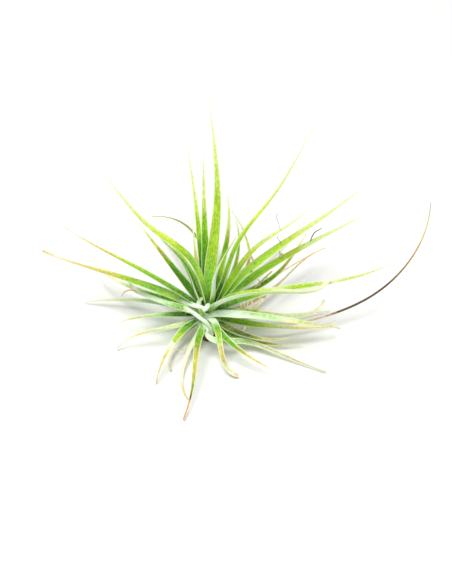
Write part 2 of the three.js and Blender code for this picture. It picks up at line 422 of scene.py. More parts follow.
@dataclass(frozen=True)
class LivingLeaf:
    """Living leaf of a stricta air plant, a succulent blade under a coat of water-drinking scales.

    The blade itself is smooth, satin and a little translucent, so light warms it from inside.
    The scales are silver-white discs 0.2 to 0.3 mm across in rows along the blade, crowded on
    the sheath and the underside and rare towards the tip. The margins are thin and colourless,
    so they read as pale lines, and the tip dries out first. The scales are drawn about three
    times as far apart as the real ones, because the real ones would be finer than a pixel.

    tones are the colours from base to tip. silver is how thickly the scales lie at the base,
    margin how pale the rims are, underside how far the scales hide the lower face, and hollow
    how dark the upper face is at its base, where the youngest leaves shade each other. groove
    is how strongly painted shade darkens the channel's bottom. flank is how much painted light
    whitens one side, below zero for the side left of the leaf's heading, and how far out that
    starts, in half widths. spot is where a sore lies on the upper face, in millimetres across
    and along, and zero for none.

    thinned is the share of the scales that is left near the tip. veining and mottling are how
    strongly the veins and the dashes between them show, and the patterns' closeness is across
    the blade, along it and from face to face. relief is the scales' height, and
    glow_reach how far red, green and blue light goes inside the blade, both in millimetres.
    shift is how far a seed of one moves the patterns.
    """

    slot: ClassVar[str] = "green_leaf"
    kind: ClassVar[str] = "living_leaf_"

    tones: str
    silver: float = 0.5
    margin: float = 0.7
    underside: float = 0.35
    hollow: float = 0.0
    groove: float = 0.4
    flank: tuple[float, float] = (0.0, 0.5)
    spot: tuple[float, float, float] = (0.0, 0.0, 0.0)
    roughness: float = 0.55
    scale_roughness: float = 0.8
    specular: float = 0.12
    relief: float = 0.12
    translucence: float = 0.06
    glow_reach: tuple[float, float, float] = (1.2, 1.4, 0.4)
    shift: tuple[float, float, float] = (7.3, 31.7, 3.1)
    clouds_per_mm: float = 0.22
    veining: float = 0.45
    veins_per_mm: tuple[float, float, float] = (2.0, 0.12, 1.0)
    mottling: float = 0.6
    dashes_per_mm: tuple[float, float, float] = (1.5, 0.6, 1.0)
    scales_per_mm: tuple[float, float, float] = (1.8, 0.9, 1.0)
    patches_per_mm: float = 0.55
    thinned: float = 0.12
    # The colour of the painted shade in the channel
    painted_channel_shade: str = "5c6a1c"
    lower_shade: str = "cfe8b4"
    shadow_shade: str = "5c7020"
    scale_shade: str = "ecf8e0"
    # The colour of the painted light on one side
    painted_light_flank_colour: str = "e6f3da"
    rim_shade: str = "e6f0cc"
    sore_shade: str = "2c3810"

    def material(self, name: str, seed: float) -> bpy.types.Material:
        """Builds the finish as nodes.

        Args:
            name: the material's name.
            seed: shifts the patterns, so that no two leaves carry the same.

        Returns:
            The finished material.
        """
        made, tree, (across, along, under), in_mm, skin, body = leaf_material(
            name, seed, self.shift, self.tones, self.clouds_per_mm)

        # Fine veins that run lengthwise, about four a millimetre drawn as two
        stretched = add(tree, "Mapping", {"Vector": skin, "Scale": self.veins_per_mm})
        veins = add(tree, "TexNoise", {"Vector": stretched, "Scale": 1.0, "Detail": 2.0})
        vein = add(tree, "MapRange", (veins, 0.35, 0.65, 0.3, 0.7))
        veined = add(tree, "Mix", (self.veining, body, vein), **SOFTEN)

        # Short darker and paler dashes, where the water cells show between the veins
        dashed = add(tree, "Mapping", {"Vector": skin, "Scale": self.dashes_per_mm})
        dashes = add(tree, "TexNoise", {"Vector": dashed, "Scale": 1.0, "Detail": 1.0})
        dash = add(tree, "MapRange", (dashes, 0.38, 0.62, 0.22, 0.78))
        mottled = add(tree, "Mix", (self.mottling, veined, dash), **SOFTEN)

        # Painted shade along the channel's bottom, where the fold shades it
        off_middle = add(tree, "Math", (across,), operation="ABSOLUTE")
        bottom = add(tree, "MapRange", (off_middle, 0.1, 0.75, self.groove, 0.0), **SMOOTH)
        grooved = add(tree, "Mix", (bottom, mottled, linear(self.painted_channel_shade)), **SOFTEN)

        # The underside, evenly silvered
        lower = add(tree, "Math", (under, self.underside), operation="MULTIPLY")
        below = add(tree, "Mix", (lower, grooved, linear(self.lower_shade)), **COVER)

        # Silver scales, in patches, thinning out towards the tip
        cells = add(tree, "Mapping", {"Vector": skin, "Scale": self.scales_per_mm})
        scales = add(tree, "TexVoronoi", {"Vector": cells, "Scale": 1.0, "Randomness": 0.9})
        disc = add(tree, "MapRange", (scales, 0.55, 0.2, 0.0, 1.0), **SMOOTH)
        patches = add(tree, "TexNoise", {
            "Vector": skin, "Scale": self.patches_per_mm, "Detail": 2.0})
        patch = add(tree, "MapRange", (patches, 0.35, 0.62, 0.3, 1.0))
        thinning = add(tree, "MapRange", (
            along, 0.05, 0.55, self.silver, self.silver * self.thinned))
        crowd = add(tree, "Math", (patch, thinning), operation="MULTIPLY")
        silvered = add(tree, "Math", (disc, crowd), operation="MULTIPLY", use_clamp=True)
        ground = add(tree, "Mix", (crowd, below, linear(self.shadow_shade)), **SOFTEN)
        coat = add(tree, "Mix", (silvered, ground, linear(self.scale_shade)), **COVER)

        # Painted light: one side of the blade whitened, as if the light fell on it
        amount, start = self.flank
        if amount:
            side = math.copysign(1.0, amount)
            lit_side_mask = add(tree, "MapRange", (
                across, side * start, side * (start + 0.3), 0.0, abs(amount)), **SMOOTH)
            coming = add(tree, "MapRange", (along, 0.03, 0.12))
            going = add(tree, "MapRange", (along, 0.55, 0.25))
            spread = add(tree, "Math", (coming, going), operation="MULTIPLY")
            thick = add(tree, "Math", (lit_side_mask, spread), operation="MULTIPLY")
            coat = add(tree, "Mix", (thick, coat, linear(self.painted_light_flank_colour)), **COVER)

        # Thin colourless margins
        from_rim = add(tree, "SeparateXYZ", (
            add(tree, "Attribute", attribute_name="leaf_rim").outputs["Vector"],))
        rim = add(tree, "MapRange", (from_rim, 0.42, 0.2, 0.0, self.margin), **SMOOTH)
        base = add(tree, "Mix", (rim, coat, linear(self.rim_shade)), **COVER)

        # Painted shade: the upper face's base darkened, where the heart shades it
        if self.hollow:
            near = add(tree, "MapRange", (along, 0.05, 0.0, 0.0, self.hollow), **SMOOTH)
            upper = add(tree, "Math", (1.0, under), operation="SUBTRACT")
            shaded = add(tree, "Math", (near, upper), operation="MULTIPLY")
            base = add(tree, "Mix", (shaded, base, linear(Hue.PAINTED_HOLLOW_SHADE.value)), **COVER)

        # A dark sore, where the blade has one
        if any(self.spot):
            away = add(tree, "VectorMath", (in_mm, self.spot), operation="DISTANCE")
            sore = add(tree, "MapRange", (away, 0.95, 0.45, 0.0, 0.9))
            base = add(tree, "Mix", (sore, base, linear(self.sore_shade)), **COVER)

        relief = add(tree, "Math", (veins, silvered), operation="ADD")
        bump = add(tree, "Bump", {
            "Height": relief, "Strength": 0.5, "Distance": self.relief * METRES_PER_MM})
        rough = add(tree, "MapRange", (
            silvered, 0.0, 0.6, self.roughness, self.scale_roughness))
        add(tree, "OutputMaterial", {"Surface": add(tree, "BsdfPrincipled", {
            "Base Color": base, "Roughness": rough, "Specular IOR Level": self.specular,
            "Normal": bump, "Subsurface Weight": self.translucence,
            "Subsurface Radius": self.glow_reach, "Subsurface Scale": METRES_PER_MM})})
        return made


@dataclass(frozen=True)
class DriedLeaf:
    """Dead air plant leaf, shrunk to a papery thread that is matte, streaked and specked.

    It dried from the tip, so its colour changes along it, and it wrinkled lengthwise as it
    shrank. The streaks are drawn about twice as coarse as the real ones, because the real ones
    are finer than a pixel.

    tones are the colours from base to tip, and wear is how strongly it is streaked and specked.
    relief is the wrinkles' depth in millimetres, and shift how far a seed of one moves the
    patterns.
    """

    slot: ClassVar[str] = "dry_leaf"
    kind: ClassVar[str] = "dried_leaf_"

    tones: str
    wear: float = 0.8
    roughness: float = 0.78
    relief: float = 0.2
    shift: tuple[float, float, float] = (5.1, 23.3, 2.7)
    clouds_per_mm: float = 0.3
    streaks_per_mm: tuple[float, float, float] = (2.6, 0.16, 1.0)
    specks_per_mm: float = 1.6

    def material(self, name: str, seed: float) -> bpy.types.Material:
        """Builds the finish as nodes.

        Args:
            name: the material's name.
            seed: shifts the patterns, so that no two leaves carry the same.

        Returns:
            The finished material.
        """
        made, tree, _, _, skin, body = leaf_material(
            name, seed, self.shift, self.tones, self.clouds_per_mm)
        stretched = add(tree, "Mapping", {"Vector": skin, "Scale": self.streaks_per_mm})
        streaks = add(tree, "TexNoise", {"Vector": stretched, "Scale": 1.0, "Detail": 3.0})
        streaked = add(tree, "Mix", (self.wear, body, streaks), **SOFTEN)
        spots = add(tree, "TexNoise", {"Vector": skin, "Scale": self.specks_per_mm, "Detail": 2.0})
        speck = add(tree, "MapRange", (spots, 0.62, 0.72, 0.0, self.wear * 0.7))
        specked = add(tree, "Mix", (speck, streaked, linear(Hue.BROWN.value)), **COVER)
        bump = add(tree, "Bump", {
            "Height": streaks, "Strength": 0.6, "Distance": self.relief * METRES_PER_MM})
        add(tree, "OutputMaterial", {"Surface": add(tree, "BsdfPrincipled", {
            "Base Color": specked, "Roughness": self.roughness, "Normal": bump})})
        return made


@dataclass(frozen=True)
class StemFinish:
    """Air plant stem, a woody core under old leaf bases that dried where they grew.

    The bases are fibrous and dull brown at the foot and turn to silver-green sheaths where the
    living leaves start. The crown's top, in the hollow between the youngest leaves, is painted
    dark green as painted shade. The fibres are drawn about a millimetre apart, several times as
    coarse as the real ones, because the real ones are finer than a pixel.

    bands are the colours by height, as a share of top, which is in metres. wander is how far
    they shift up and down, as a share of top too. streaking is how strongly the fibres show,
    and relief how deep they are in millimetres.
    """

    roughness: float = 0.8
    top: float = 0.024
    wander: float = 0.16
    streaking: float = 0.7
    relief: float = 0.3
    clouds_per_m: float = 400.0
    fibres_per_m: tuple[float, float, float] = (900.0, 900.0, 120.0)
    bands: tuple[tuple[float, str], ...] = (
        (0.05, "5a4128"), (0.30, "8a7048"), (0.45, "b9c29a"), (0.62, "c9dcb8"),
        # The top band's dark green is painted shade in the hollow between the youngest leaves
        (0.85, "6fa03a"), (1.0, "1f5410"))

    def material(self, name: str) -> bpy.types.Material:
        """Builds the finish as nodes.

        Args:
            name: the material's name.

        Returns:
            The finished material.
        """
        made, tree = blank_material(name)
        spot = add(tree, "TexCoord").outputs["Object"]
        height = add(tree, "SeparateXYZ", (spot,)).outputs["Z"]
        share = add(tree, "MapRange", {"Value": height, "From Max": self.top})
        cloud = add(tree, "TexNoise", {"Vector": spot, "Scale": self.clouds_per_m, "Detail": 3.0})
        shifted = add(tree, "Math", (cloud, self.wander, share), operation="MULTIPLY_ADD")
        body = add(tree, "ValToRGB", (shifted,), stops=self.bands)
        drawn = add(tree, "Mapping", {"Vector": spot, "Scale": self.fibres_per_m})
        fibres = add(tree, "TexNoise", {"Vector": drawn, "Scale": 1.0, "Detail": 3.0})
        fibred = add(tree, "Mix", (self.streaking, body, fibres), **SOFTEN)
        bump = add(tree, "Bump", {
            "Height": fibres, "Strength": 0.7, "Distance": self.relief * METRES_PER_MM})
        add(tree, "OutputMaterial", {"Surface": add(tree, "BsdfPrincipled", {
            "Base Color": fibred, "Roughness": self.roughness, "Normal": bump})})
        return made


@dataclass(frozen=True)
class FloorFinish:
    """Matte white background paper, with the faint tooth that such paper has.

    The tooth is drawn about a millimetre apart, coarser than the real one, which is finer than
    a pixel. relief is its height in millimetres.
    """

    shade: str = "f4f4f3"
    roughness: float = 0.95
    relief: float = 0.2
    teeth_per_m: float = 900.0

    def material(self, name: str) -> bpy.types.Material:
        """Builds the finish as nodes.

        Args:
            name: the material's name.

        Returns:
            The finished material.
        """
        made, tree = blank_material(name)
        spot = add(tree, "TexCoord").outputs["Object"]
        tooth = add(tree, "TexNoise", {"Vector": spot, "Scale": self.teeth_per_m, "Detail": 2.0})
        bump = add(tree, "Bump", {
            "Height": tooth, "Strength": 0.08, "Distance": self.relief * METRES_PER_MM})
        add(tree, "OutputMaterial", {"Surface": add(tree, "BsdfPrincipled", {
            "Base Color": linear(self.shade), "Roughness": self.roughness, "Normal": bump})})
        return made


@dataclass
class Leaf:
    """One leaf of the rosette: a folded blade that grows from the crown.

    Sizes are in millimetres. headings are the midrib's directions from the crown to the tip,
    each a bearing and a rise. taper is the power of the blade's narrowing, where less than one
    keeps it full for longer, and tip_width is the width of its blunt end. fold is the channel's
    depth as a share of the half width, at the base and towards the tip. sheath is the base's
    width as a share of the blade's greatest. thickness is the blade's at the base and at the
    tip. root is the sheath's way to the foot where it isn't straight, and solid tells whether
    the leaf stands in for a solid.
    """

    name: str
    length: float
    width: float
    headings: tuple[tuple[float, float], ...]
    finish: LivingLeaf | DriedLeaf
    taper: float = 0.75
    tip_width: float = 0.5
    fold: tuple[float, float] = (0.6, 0.3)
    sheath: float = 0.95
    thickness: tuple[float, float] = (0.62, 0.28)
    root: tuple[tuple[float, float, float], ...] = ()
    solid: bool = True
    piece: bpy.types.Object | None = field(default=None, repr=False)

    @property
    def seed(self) -> float:
        """A number of its own for each leaf, from its length and first heading."""
        bearing, rise = self.headings[0]
        return (self.length * 0.37 + bearing * 0.113 + rise * 0.219) % SEED_SPAN

    def midrib(self) -> tuple[np.ndarray, np.ndarray, np.ndarray]:
        """Follows the sheath out of the heart and the headings on to the tip.

        The blade's direction runs through the headings as a Catmull-Rom blend, and its points
        are the running sum of the directions, each as long as one step. The sheath's part is a
        Catmull-Rom curve from the heart to the blade's foot on the crown. The joined line is
        set out by its length, a little closer towards the tip, and averaged twice with its
        neighbours, one part in four on each side.

        Returns:
            Points and unit directions at the leaf's stations, and each station's distance along
            the blade, which is below zero in the sheath.
        """
        ways = direction(np.array(self.headings, dtype=float))
        foot = ways[0] * (CROWN_RADIUS, CROWN_RADIUS, CROWN_HALF_HEIGHT)
        foot = foot + (0.0, 0.0, CROWN_CENTRE_Z)
        steps = unit(smooth_route(ways, 2 * MIDRIB_STEPS + 1))
        blade = foot + np.cumsum(steps[1::2], axis=0) * self.length / MIDRIB_STEPS
        bearing, rise = np.radians(self.headings[0])
        if self.root:
            start = np.array(self.root, dtype=float)
        elif math.degrees(rise) < UPRIGHT_RISE:
            start = np.array([[HEART_RADIUS * math.sin(bearing), HEART_RADIUS * math.cos(bearing),
                               HEART_Z]])
        else:
            start = foot[None, :] - ROOTED * ways[:1]
        knots = np.vstack([start, foot, foot + ways[0] * ROOTED])
        sheath = smooth_route(knots, ROOT_STEPS * (len(knots) - 1) + 1)[:-ROOT_STEPS]
        line = np.vstack([sheath, blade])
        gone = gone_along(line)
        marks = gone[-1] * (1 - np.linspace(1.0, 0.0, BLADE_STATIONS) ** TIP_CROWDING)
        points = np.stack([np.interp(marks, gone, line[:, axis]) for axis in range(3)], axis=-1)
        for _ in range(2):
            points[1:-1] = points[1:-1] / 2 + (points[:-2] + points[2:]) / 4
        return points, unit(np.gradient(points, axis=0)), marks - gone[len(sheath) - 1]

    def half_widths(self, share: np.ndarray) -> np.ndarray:
        """Half the blade's width: it swells out of the sheath, tapers, and ends in a round tip.

        The round end is an ellipse's quarter, so with t as the distance to the tip over half
        the tip's width, held at one, the width falls there as the root of t times 2 less t.

        Args:
            share: places along the leaf, 0 at the crown and 1 at the tip.

        Returns:
            Half widths in millimetres.
        """
        swell = self.sheath + (1 - self.sheath) * eased(share / WIDEST_AT)
        narrowing = np.minimum(1.0, (1 - share) / (1 - WIDEST_AT)) ** self.taper
        ending = np.clip((1 - share) * self.length / self.tip_width, BLADE_END, 1.0)
        full = np.maximum(self.tip_width, self.width * swell * narrowing)
        return full / 2 * np.sqrt(ending * (2 - ending))

    def rings(self) -> tuple[np.ndarray, dict[str, np.ndarray]]:
        """The blade's skin, folded along its midrib and a little rippled.

        Across the blade the height is fold times half width times (|v| to CHANNEL_POWER, less
        a half), which is a V with a rounded bottom that lies as much below the midrib as above
        it. The ripple is a sine along the blade, stronger on one side.

        Returns:
            The rings' points, and the traits that the finishes read.
        """
        points, turns, reach = self.midrib()
        share = np.clip(reach / self.length, 0.0, 1.0)
        # The blade lies level from side to side where it starts
        level = np.array([turns[0, 1], -turns[0, 0], 0.0])
        half = self.half_widths(share) * (1 - SHEATH_NARROWING * eased(reach / reach[0]))
        fold = self.fold[0] + (self.fold[1] - self.fold[0]) * eased(share / FOLD_SETTLED)
        wave = RIPPLE * np.sin(share * RIPPLE_TURNS + self.seed)[:, None]
        wave = wave * (COLUMNS * RIPPLE_LEAN + (1 - RIPPLE_LEAN))
        lift = ((fold * half)[:, None] * (np.abs(COLUMNS) ** CHANNEL_POWER - 0.5)
                + wave * (eased(share * RIPPLE_ONSET) * (1 - share))[:, None])
        depth = self.thickness[0] + (self.thickness[1] - self.thickness[0]) * share
        return folded_skin(points, carried_frame(turns, unit(level)), half, lift, depth, share,
                           reach)

    def build(self) -> None:
        """Makes the leaf's mesh."""
        self.piece = skinned(self.name + "_blade", *self.rings())

    def dress(self) -> None:
        """Gives the leaf its finish, stands it in for its solid and ties it to the plant."""
        finish = self.finish
        self.piece.data.materials.append(finish.material(finish.kind + self.name, self.seed))
        if self.solid:
            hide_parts("leaf_" + self.name)
        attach(self.piece, BODY)


@dataclass
class Wisp:
    """A thin strip that lies among the leaves: a dead shred, a curl or the flap of a sheath.

    route is its way in millimetres, and widths its width at the start, the middle and the end.
    tones are its colours from start to end. fold is the rims' rise as a share of the half
    width, and falls below zero where the strip arches over. silver is how thickly the scales
    lie on it, and a strip without them is dead.
    """

    name: str
    route: tuple[tuple[float, float, float], ...]
    widths: tuple[float, float, float]
    tones: str
    fold: float = 0.4
    thickness: float = 0.35
    silver: float = 0.0
    piece: bpy.types.Object | None = field(default=None, repr=False)

    def build(self) -> None:
        """Makes the strip's mesh: a Catmull-Rom route, widened by a curve through its widths."""
        line = smooth_route(np.array(self.route), WISP_STATIONS)
        turns = unit(np.gradient(line, axis=0))
        frames = carried_frame(turns, unit(np.cross(turns[0], STRIP_FACING)))
        reach = gone_along(line)
        share = reach / reach[-1]
        full = np.interp(share, (0.0, 0.5, 1.0), self.widths)
        ends = np.clip(np.minimum(reach, reach[-1] - reach) / (full / 2), STRIP_END, 1.0)
        half = full / 2 * np.sqrt(ends * (2 - ends))
        lift = (self.fold * half)[:, None] * np.abs(COLUMNS) ** STRIP_POWER
        depth = np.minimum(self.thickness, full * STRIP_THICKEST) * np.sqrt(ends)
        self.piece = skinned(self.name, *folded_skin(line, frames, half, lift, depth, share,
                                                     reach))

    def dress(self) -> None:
        """Gives the strip the living leaf's finish if it carries scales, else the dried one's."""
        seed = (len(self.name) * 1.7 + self.widths[1]) % SEED_SPAN
        if self.silver:
            finish = LivingLeaf(self.tones, self.silver, margin=0.3, groove=0.1)
        else:
            finish = DriedLeaf(self.tones, wear=0.3)
        self.piece.data.materials.append(finish.material(self.name + "_tissue", seed))
        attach(self.piece, BODY)


@dataclass
class Rosette:
    """Every leaf of the plant, youngest first, from the hollow outwards."""

    inner: tuple[Leaf, ...] = (
        Leaf("inner_1", 103, 6.2, ((6, 67), (14, 61), (-7, 52), (-11, 45)), LivingLeaf(
             "SPRING 12, LIME 25, LIME 50, LEMON 70, PALE 100", 0.18, hollow=0.8), taper=1.0),
        Leaf("inner_2", 95, 6.4, ((-80, 82), (-100, 74), (-74, 33), (-44, 23), (-35, 16)),
             LivingLeaf("SPRING 10, VIVID 18, SPRING 30, LIME 42, CITRUS 55, LEMON 66, PALE 100",
             0.08, hollow=0.5), taper=0.8),
        Leaf("inner_3", 108, 4.6, ((75, 65), (60, 73), (51, 34), (36, 32), (34, 32)), LivingLeaf(
             "SHADE 10, FRESH 18, FRESH 30, LIME 42, CITRUS 55, LEMON 64, PALE 100", 0.25,
             hollow=0.6), taper=0.8),
        Leaf("inner_4", 43, 5, ((112, 76), (69, 87), (39, 40), (25, 4)), LivingLeaf(
             "SPRING 10, MINT 20, SHEATH 32, SHEATH 50, MINT 62, LEMON 75, SAND 88, TAN 100", 0.05,
             margin=0.4, underside=0.0, groove=0.0)),
        Leaf("inner_5", 76, 6.6, ((138, 62), (97, 20), (73, -18), (22, -5)), LivingLeaf(
             "LEAF 12, FRESH 22, LIME 40, LEMON 50, PALE 62, PALE 82, CREAM 92, IVORY 100", 0.2,
             margin=0.35, underside=0.05, groove=0.3, flank=(0.85, 0.1)), taper=0.45,
             tip_width=1.4, fold=(0.7, 0.6)),
        Leaf("inner_6", 46, 6.4, ((-90, 66), (-39, 63), (-48, 23), (-40, 8)), LivingLeaf(
             "DEEP 0, LEAF 30, LEAF 60, FRESH 80, LIME 100", 0.45, underside=0.05, hollow=0.4,
             flank=(-0.75, 0.5))),
    )
    back: tuple[Leaf, ...] = (
        Leaf("back_1", 80, 3.8, ((-10, 45), (-8, 40), (-14, 37)), LivingLeaf(
             "LEAF 10, SHADE 20, DEEP 32, FRESH 42, LIME 52, LEMON 62, PALE 100", 0.1)),
        Leaf("back_2", 75, 4.6, ((-5, 57), (0, 60)), LivingLeaf(
             "SHADE 15, DEEP 30, LEAF 45, FRESH 55, LEMON 66, PALE 100", 0.1)),
        Leaf("back_3", 57, 4.4, ((28, 52), (20, 57), (-16, 46)), LivingLeaf(
             "FRESH 10, LEAF 20, LIME 30, FRESH 40, LEAF 50, WILLOW 60, LEMON 72, PALE 100", 0.2,
             underside=0.1)),
        Leaf("back_4", 51, 3, ((39, 22), (15, 30), (-25, 33)), LivingLeaf(
             "LIME 10, LEAF 20, LEAF 30, FRESH 42, WILLOW 50, FRESH 60, LIME 72, LEMON 85, "
             "PALE 100", 0.1, underside=0.1)),
        Leaf("back_5", 60, 3, ((32, 8), (41, 16), (-15, 33), (-66, 50)), LivingLeaf(
             "LIME 0, LEAF 20, LIME 40, TAN 46, SAND 54, LIME 60, BUTTER 70, LEMON 80, PALE 100",
             0.15, underside=0.1)),
        Leaf("back_6", 54, 4.4, ((-52, 41), (-42, 25), (-34, 11)), LivingLeaf(
             "LEAF 0, DEEP 20, DEEP 38, LEAF 48, WILLOW 58, YELLOW 70, LEMON 84, PALE 100", 0.15)),
    )
    right: tuple[Leaf, ...] = (
        Leaf("right_1", 72, 4.8, ((68, 54), (60, 53), (64, 20), (47, 18)), LivingLeaf(
             "SPRING 0, VIVID 8, VIVID 22, LIME 32, CITRUS 45, LEMON 58, PALE 100", 0.08,
             groove=0.2)),
        Leaf("right_2", 98, 5.6, ((60, 44), (65, 24), (52, 15)), LivingLeaf(
             "SPRING 0, VIVID 8, APPLE 20, VIVID 30, VIVID 42, CITRUS 52, LEMON 64, PALE 100",
             0.45, groove=0.2, spot=(2.0, 24.5, 0.0)), taper=0.85),
        Leaf("right_3", 91, 5.4, ((58, 28), (65, 17), (64, 10)), LivingLeaf(
             "SPRING 0, APPLE 5, APPLE 12, SPRING 20, VIVID 32, VIVID 42, CITRUS 52, MINT 62, "
             "PALE 100", 0.45, groove=0.15)),
        Leaf("right_4", 66, 3.8, ((57, 11), (60, 8), (39, 19), (30, 24)), LivingLeaf(
             "SHADE 10, LEAF 20, LIME 30, LEAF 40, FRESH 50, YELLOW 65, LIME 75, LEMON 90, "
             "PALE 100", 0.12, underside=0.1)),
        Leaf("right_5", 95, 4.8, ((86, 30), (78, -1), (53, -3)), LivingLeaf(
             "DEEP 10, LEAF 20, LEMON 28, LIME 42, LIME 52, CREAM 60, LEMON 68, LEMON 80, "
             "PALE 100", 0.3, flank=(0.4, 0.4)), taper=0.7),
        Leaf("right_6", 70, 4.6, ((126, 31), (93, -8), (58, -37)), LivingLeaf(
             "SHEATH 20, SILVER 30, SILVER 45, PALE 55, LEMON 65, SAGE 76, BUTTER 90, STRAW 100",
             0.2, groove=0.0, flank=(0.85, -0.25)), taper=0.75, tip_width=0.8, fold=(0.6, 0.5),
             root=((-1.0, -3.6, 18.5),)),
        Leaf("right_7", 61, 4.6, ((103, 22), (98, -2), (71, -12), (17, 4)), LivingLeaf(
             "LEAF 6, SILVER 12, LEMON 20, LIME 30, LEMON 40, SAGE 50, PALE 60, PALE 70, "
             "CREAM 82, IVORY 90", 0.3, groove=0.3, flank=(0.5, 0.3)), taper=0.5, tip_width=1.7),
        Leaf("right_8", 61, 4.4, ((110, 2), (89, -6), (69, -16)), LivingLeaf(
             "FRESH 20, LIME 30, LEMON 42, SAGE 55, BUTTER 66, BUTTER 80, STRAW 100", 0.4,
             margin=0.9), taper=0.7, tip_width=0.8),
    )
    left: tuple[Leaf, ...] = (
        Leaf("left_1", 99, 4.6, ((-96, 49), (-56, 3), (-20, -30)), LivingLeaf(
             "DEEP 10, LEAF 22, FRESH 34, LIME 44, YELLOW 56, BUTTER 70, CREAM 85", 0.3,
             hollow=0.6), taper=1.0, tip_width=0.9),
        Leaf("left_2", 102, 5.6, ((-88, 35), (-60, -8), (-35, -25)), LivingLeaf(
             "SHEATH 0, SILVER 7, APPLE 15, SPRING 25, LIME 36, YELLOW 50, BUTTER 68, CREAM 85, "
             "BUTTER 100", 0.5), taper=1.1, tip_width=2.0, root=((0.6, 0.3, 21.5),)),
        Leaf("left_3", 54, 6, ((-124, 36), (-62, -1), (-40, -21), (-8, -3)), LivingLeaf(
             "SHEATH 12, LEAF 20, SILVER 30, SHEATH 42, SHEATH 60, IVORY 80, SILVER 90, "
             "SHEATH 100", 0.7, margin=0.9, groove=0.3), taper=0.5, tip_width=1.2),
        Leaf("left_4", 82, 3.4, ((-75, 15), (-58, -8), (-40, -11), (-9, 1)), LivingLeaf(
             "LEAF 0, FRESH 10, LEAF 30, SILVER 40, PALE 50, IVORY 60, CREAM 70, IVORY 85, "
             "CREAM 100", 0.4), taper=0.8),
        Leaf("left_5", 64, 3.6, ((-67, 1), (-71, -13), (-74, -25)), LivingLeaf(
             "SHEATH 0, SILVER 10, SILVER 20, SHEATH 34, SHEATH 48, PALE 60, CREAM 75, "
             "CREAM 90, STRAW 100", 0.35), taper=0.7, tip_width=0.6),
        Leaf("left_6", 47, 3.8, ((-99, 11), (-79, -18), (-63, -47)), LivingLeaf(
             "DEEP 12, LEAF 25, SILVER 42, SAGE 60, BUTTER 75, CREAM 88, STRAW 100", 0.8),
             taper=0.85),
        Leaf("left_7", 45, 3.2, ((-115, -2), (-95, -11), (-103, -53)), LivingLeaf(
             "LEAF 0, SILVER 6, PALE 20, SAGE 50, BUTTER 66, CREAM 85, SAND 100", 0.8, groove=0.3),
             taper=0.75, tip_width=0.9),
    )
    front: tuple[Leaf, ...] = (
        Leaf("front_1", 42, 4.2, ((-134, 12), (-144, -24), (-162, -57)), LivingLeaf(
             "SHEATH 0, SHADE 6, DEEP 16, LEAF 26, LIME 36, LIME 44, SHEATH 48, PALE 54, "
             "BUTTER 62, BUTTER 82, SAND 92, TAN 100", 0.35), taper=0.8, tip_width=0.9,
             sheath=0.6),
        Leaf("front_2", 56, 3.7, ((-164, 10), (-175, -22), (-157, -24)), LivingLeaf(
             "SHEATH 0, SILVER 6, LEAF 12, LEAF 20, WILLOW 30, YELLOW 40, YELLOW 55, WILLOW 65, "
             "OLIVE 73, UMBER 76, UMBER 81, ORANGE 84", 0.2), taper=0.8, tip_width=1.1,
             sheath=0.7),
        Leaf("front_3", 34, 3.4, ((156, 15), (170, -30), (153, -45), (100, -12)), LivingLeaf(
             "SHEATH 0, SILVER 10, LEAF 16, FRESH 26, LEMON 40, BUTTER 50, YELLOW 60, SAND 70, "
             "PALE 80, CREAM 90, PEACH 100", 0.25), taper=0.5, tip_width=2.3,
             thickness=(0.62, 0.9), root=((-5.2, 0.3, 21.0), (-2.0, -3.8, 19.5))),
        Leaf("front_4", 40, 3.6, ((154, -1), (125, -15), (100, -26)), LivingLeaf(
             "FRESH 0, LEAF 10, LEAF 38, WILLOW 50, YELLOW 60, BUTTER 70, STRAW 85, TAN 100", 0.25,
             margin=0.9), taper=0.7),
        Leaf("front_5", 72, 3.4, ((191, -1), (70, -17), (108, -10), (114, -8), (112, -3)),
             LivingLeaf("SHEATH 18, PALE 26, SILVER 34, SAGE 50, SAGE 64, SAND 80, TAN 100", 0.8),
             taper=0.75, tip_width=0.8, fold=(0.9, 0.3), sheath=0.35),
        Leaf("front_6", 40, 3.8, ((125, -8), (97, -11), (63, -5)), LivingLeaf(
             "DEEP 0, OLIVE 10, MOSS 30, MOSS 42, OLIVE 50, BUTTER 60, STRAW 75, CREAM 88, "
             "PINK 100", 0.4), taper=0.9, tip_width=0.8),
        Leaf("front_7", 45, 3.4, ((126, -27), (100, -9), (90, -8), (77, -2)), LivingLeaf(
             "DEEP 0, LEAF 10, SILVER 30, SILVER 42, WILLOW 52, YELLOW 62, BUTTER 75, STRAW 90, "
             "CREAM 100", 0.8), taper=0.9),
    )
    under: tuple[Leaf, ...] = (
        Leaf("under_1", 79, 4.6, ((-16, 4), (-26, -24)), LivingLeaf(DEEP_BLADE)),
        Leaf("under_2", 70, 4.6, ((4, 0), (2, -23)), LivingLeaf(DEEP_BLADE)),
        Leaf("under_3", 74, 4.4, ((27, -4), (38, -16)), LivingLeaf(GREEN_BLADE)),
        Leaf("under_4", 62, 4.2, ((-46, -5), (-58, -18)), LivingLeaf(DEEP_BLADE)),
        Leaf("under_5", 60, 4, ((80, -13), (68, -10)), LivingLeaf(GREEN_BLADE)),
    )
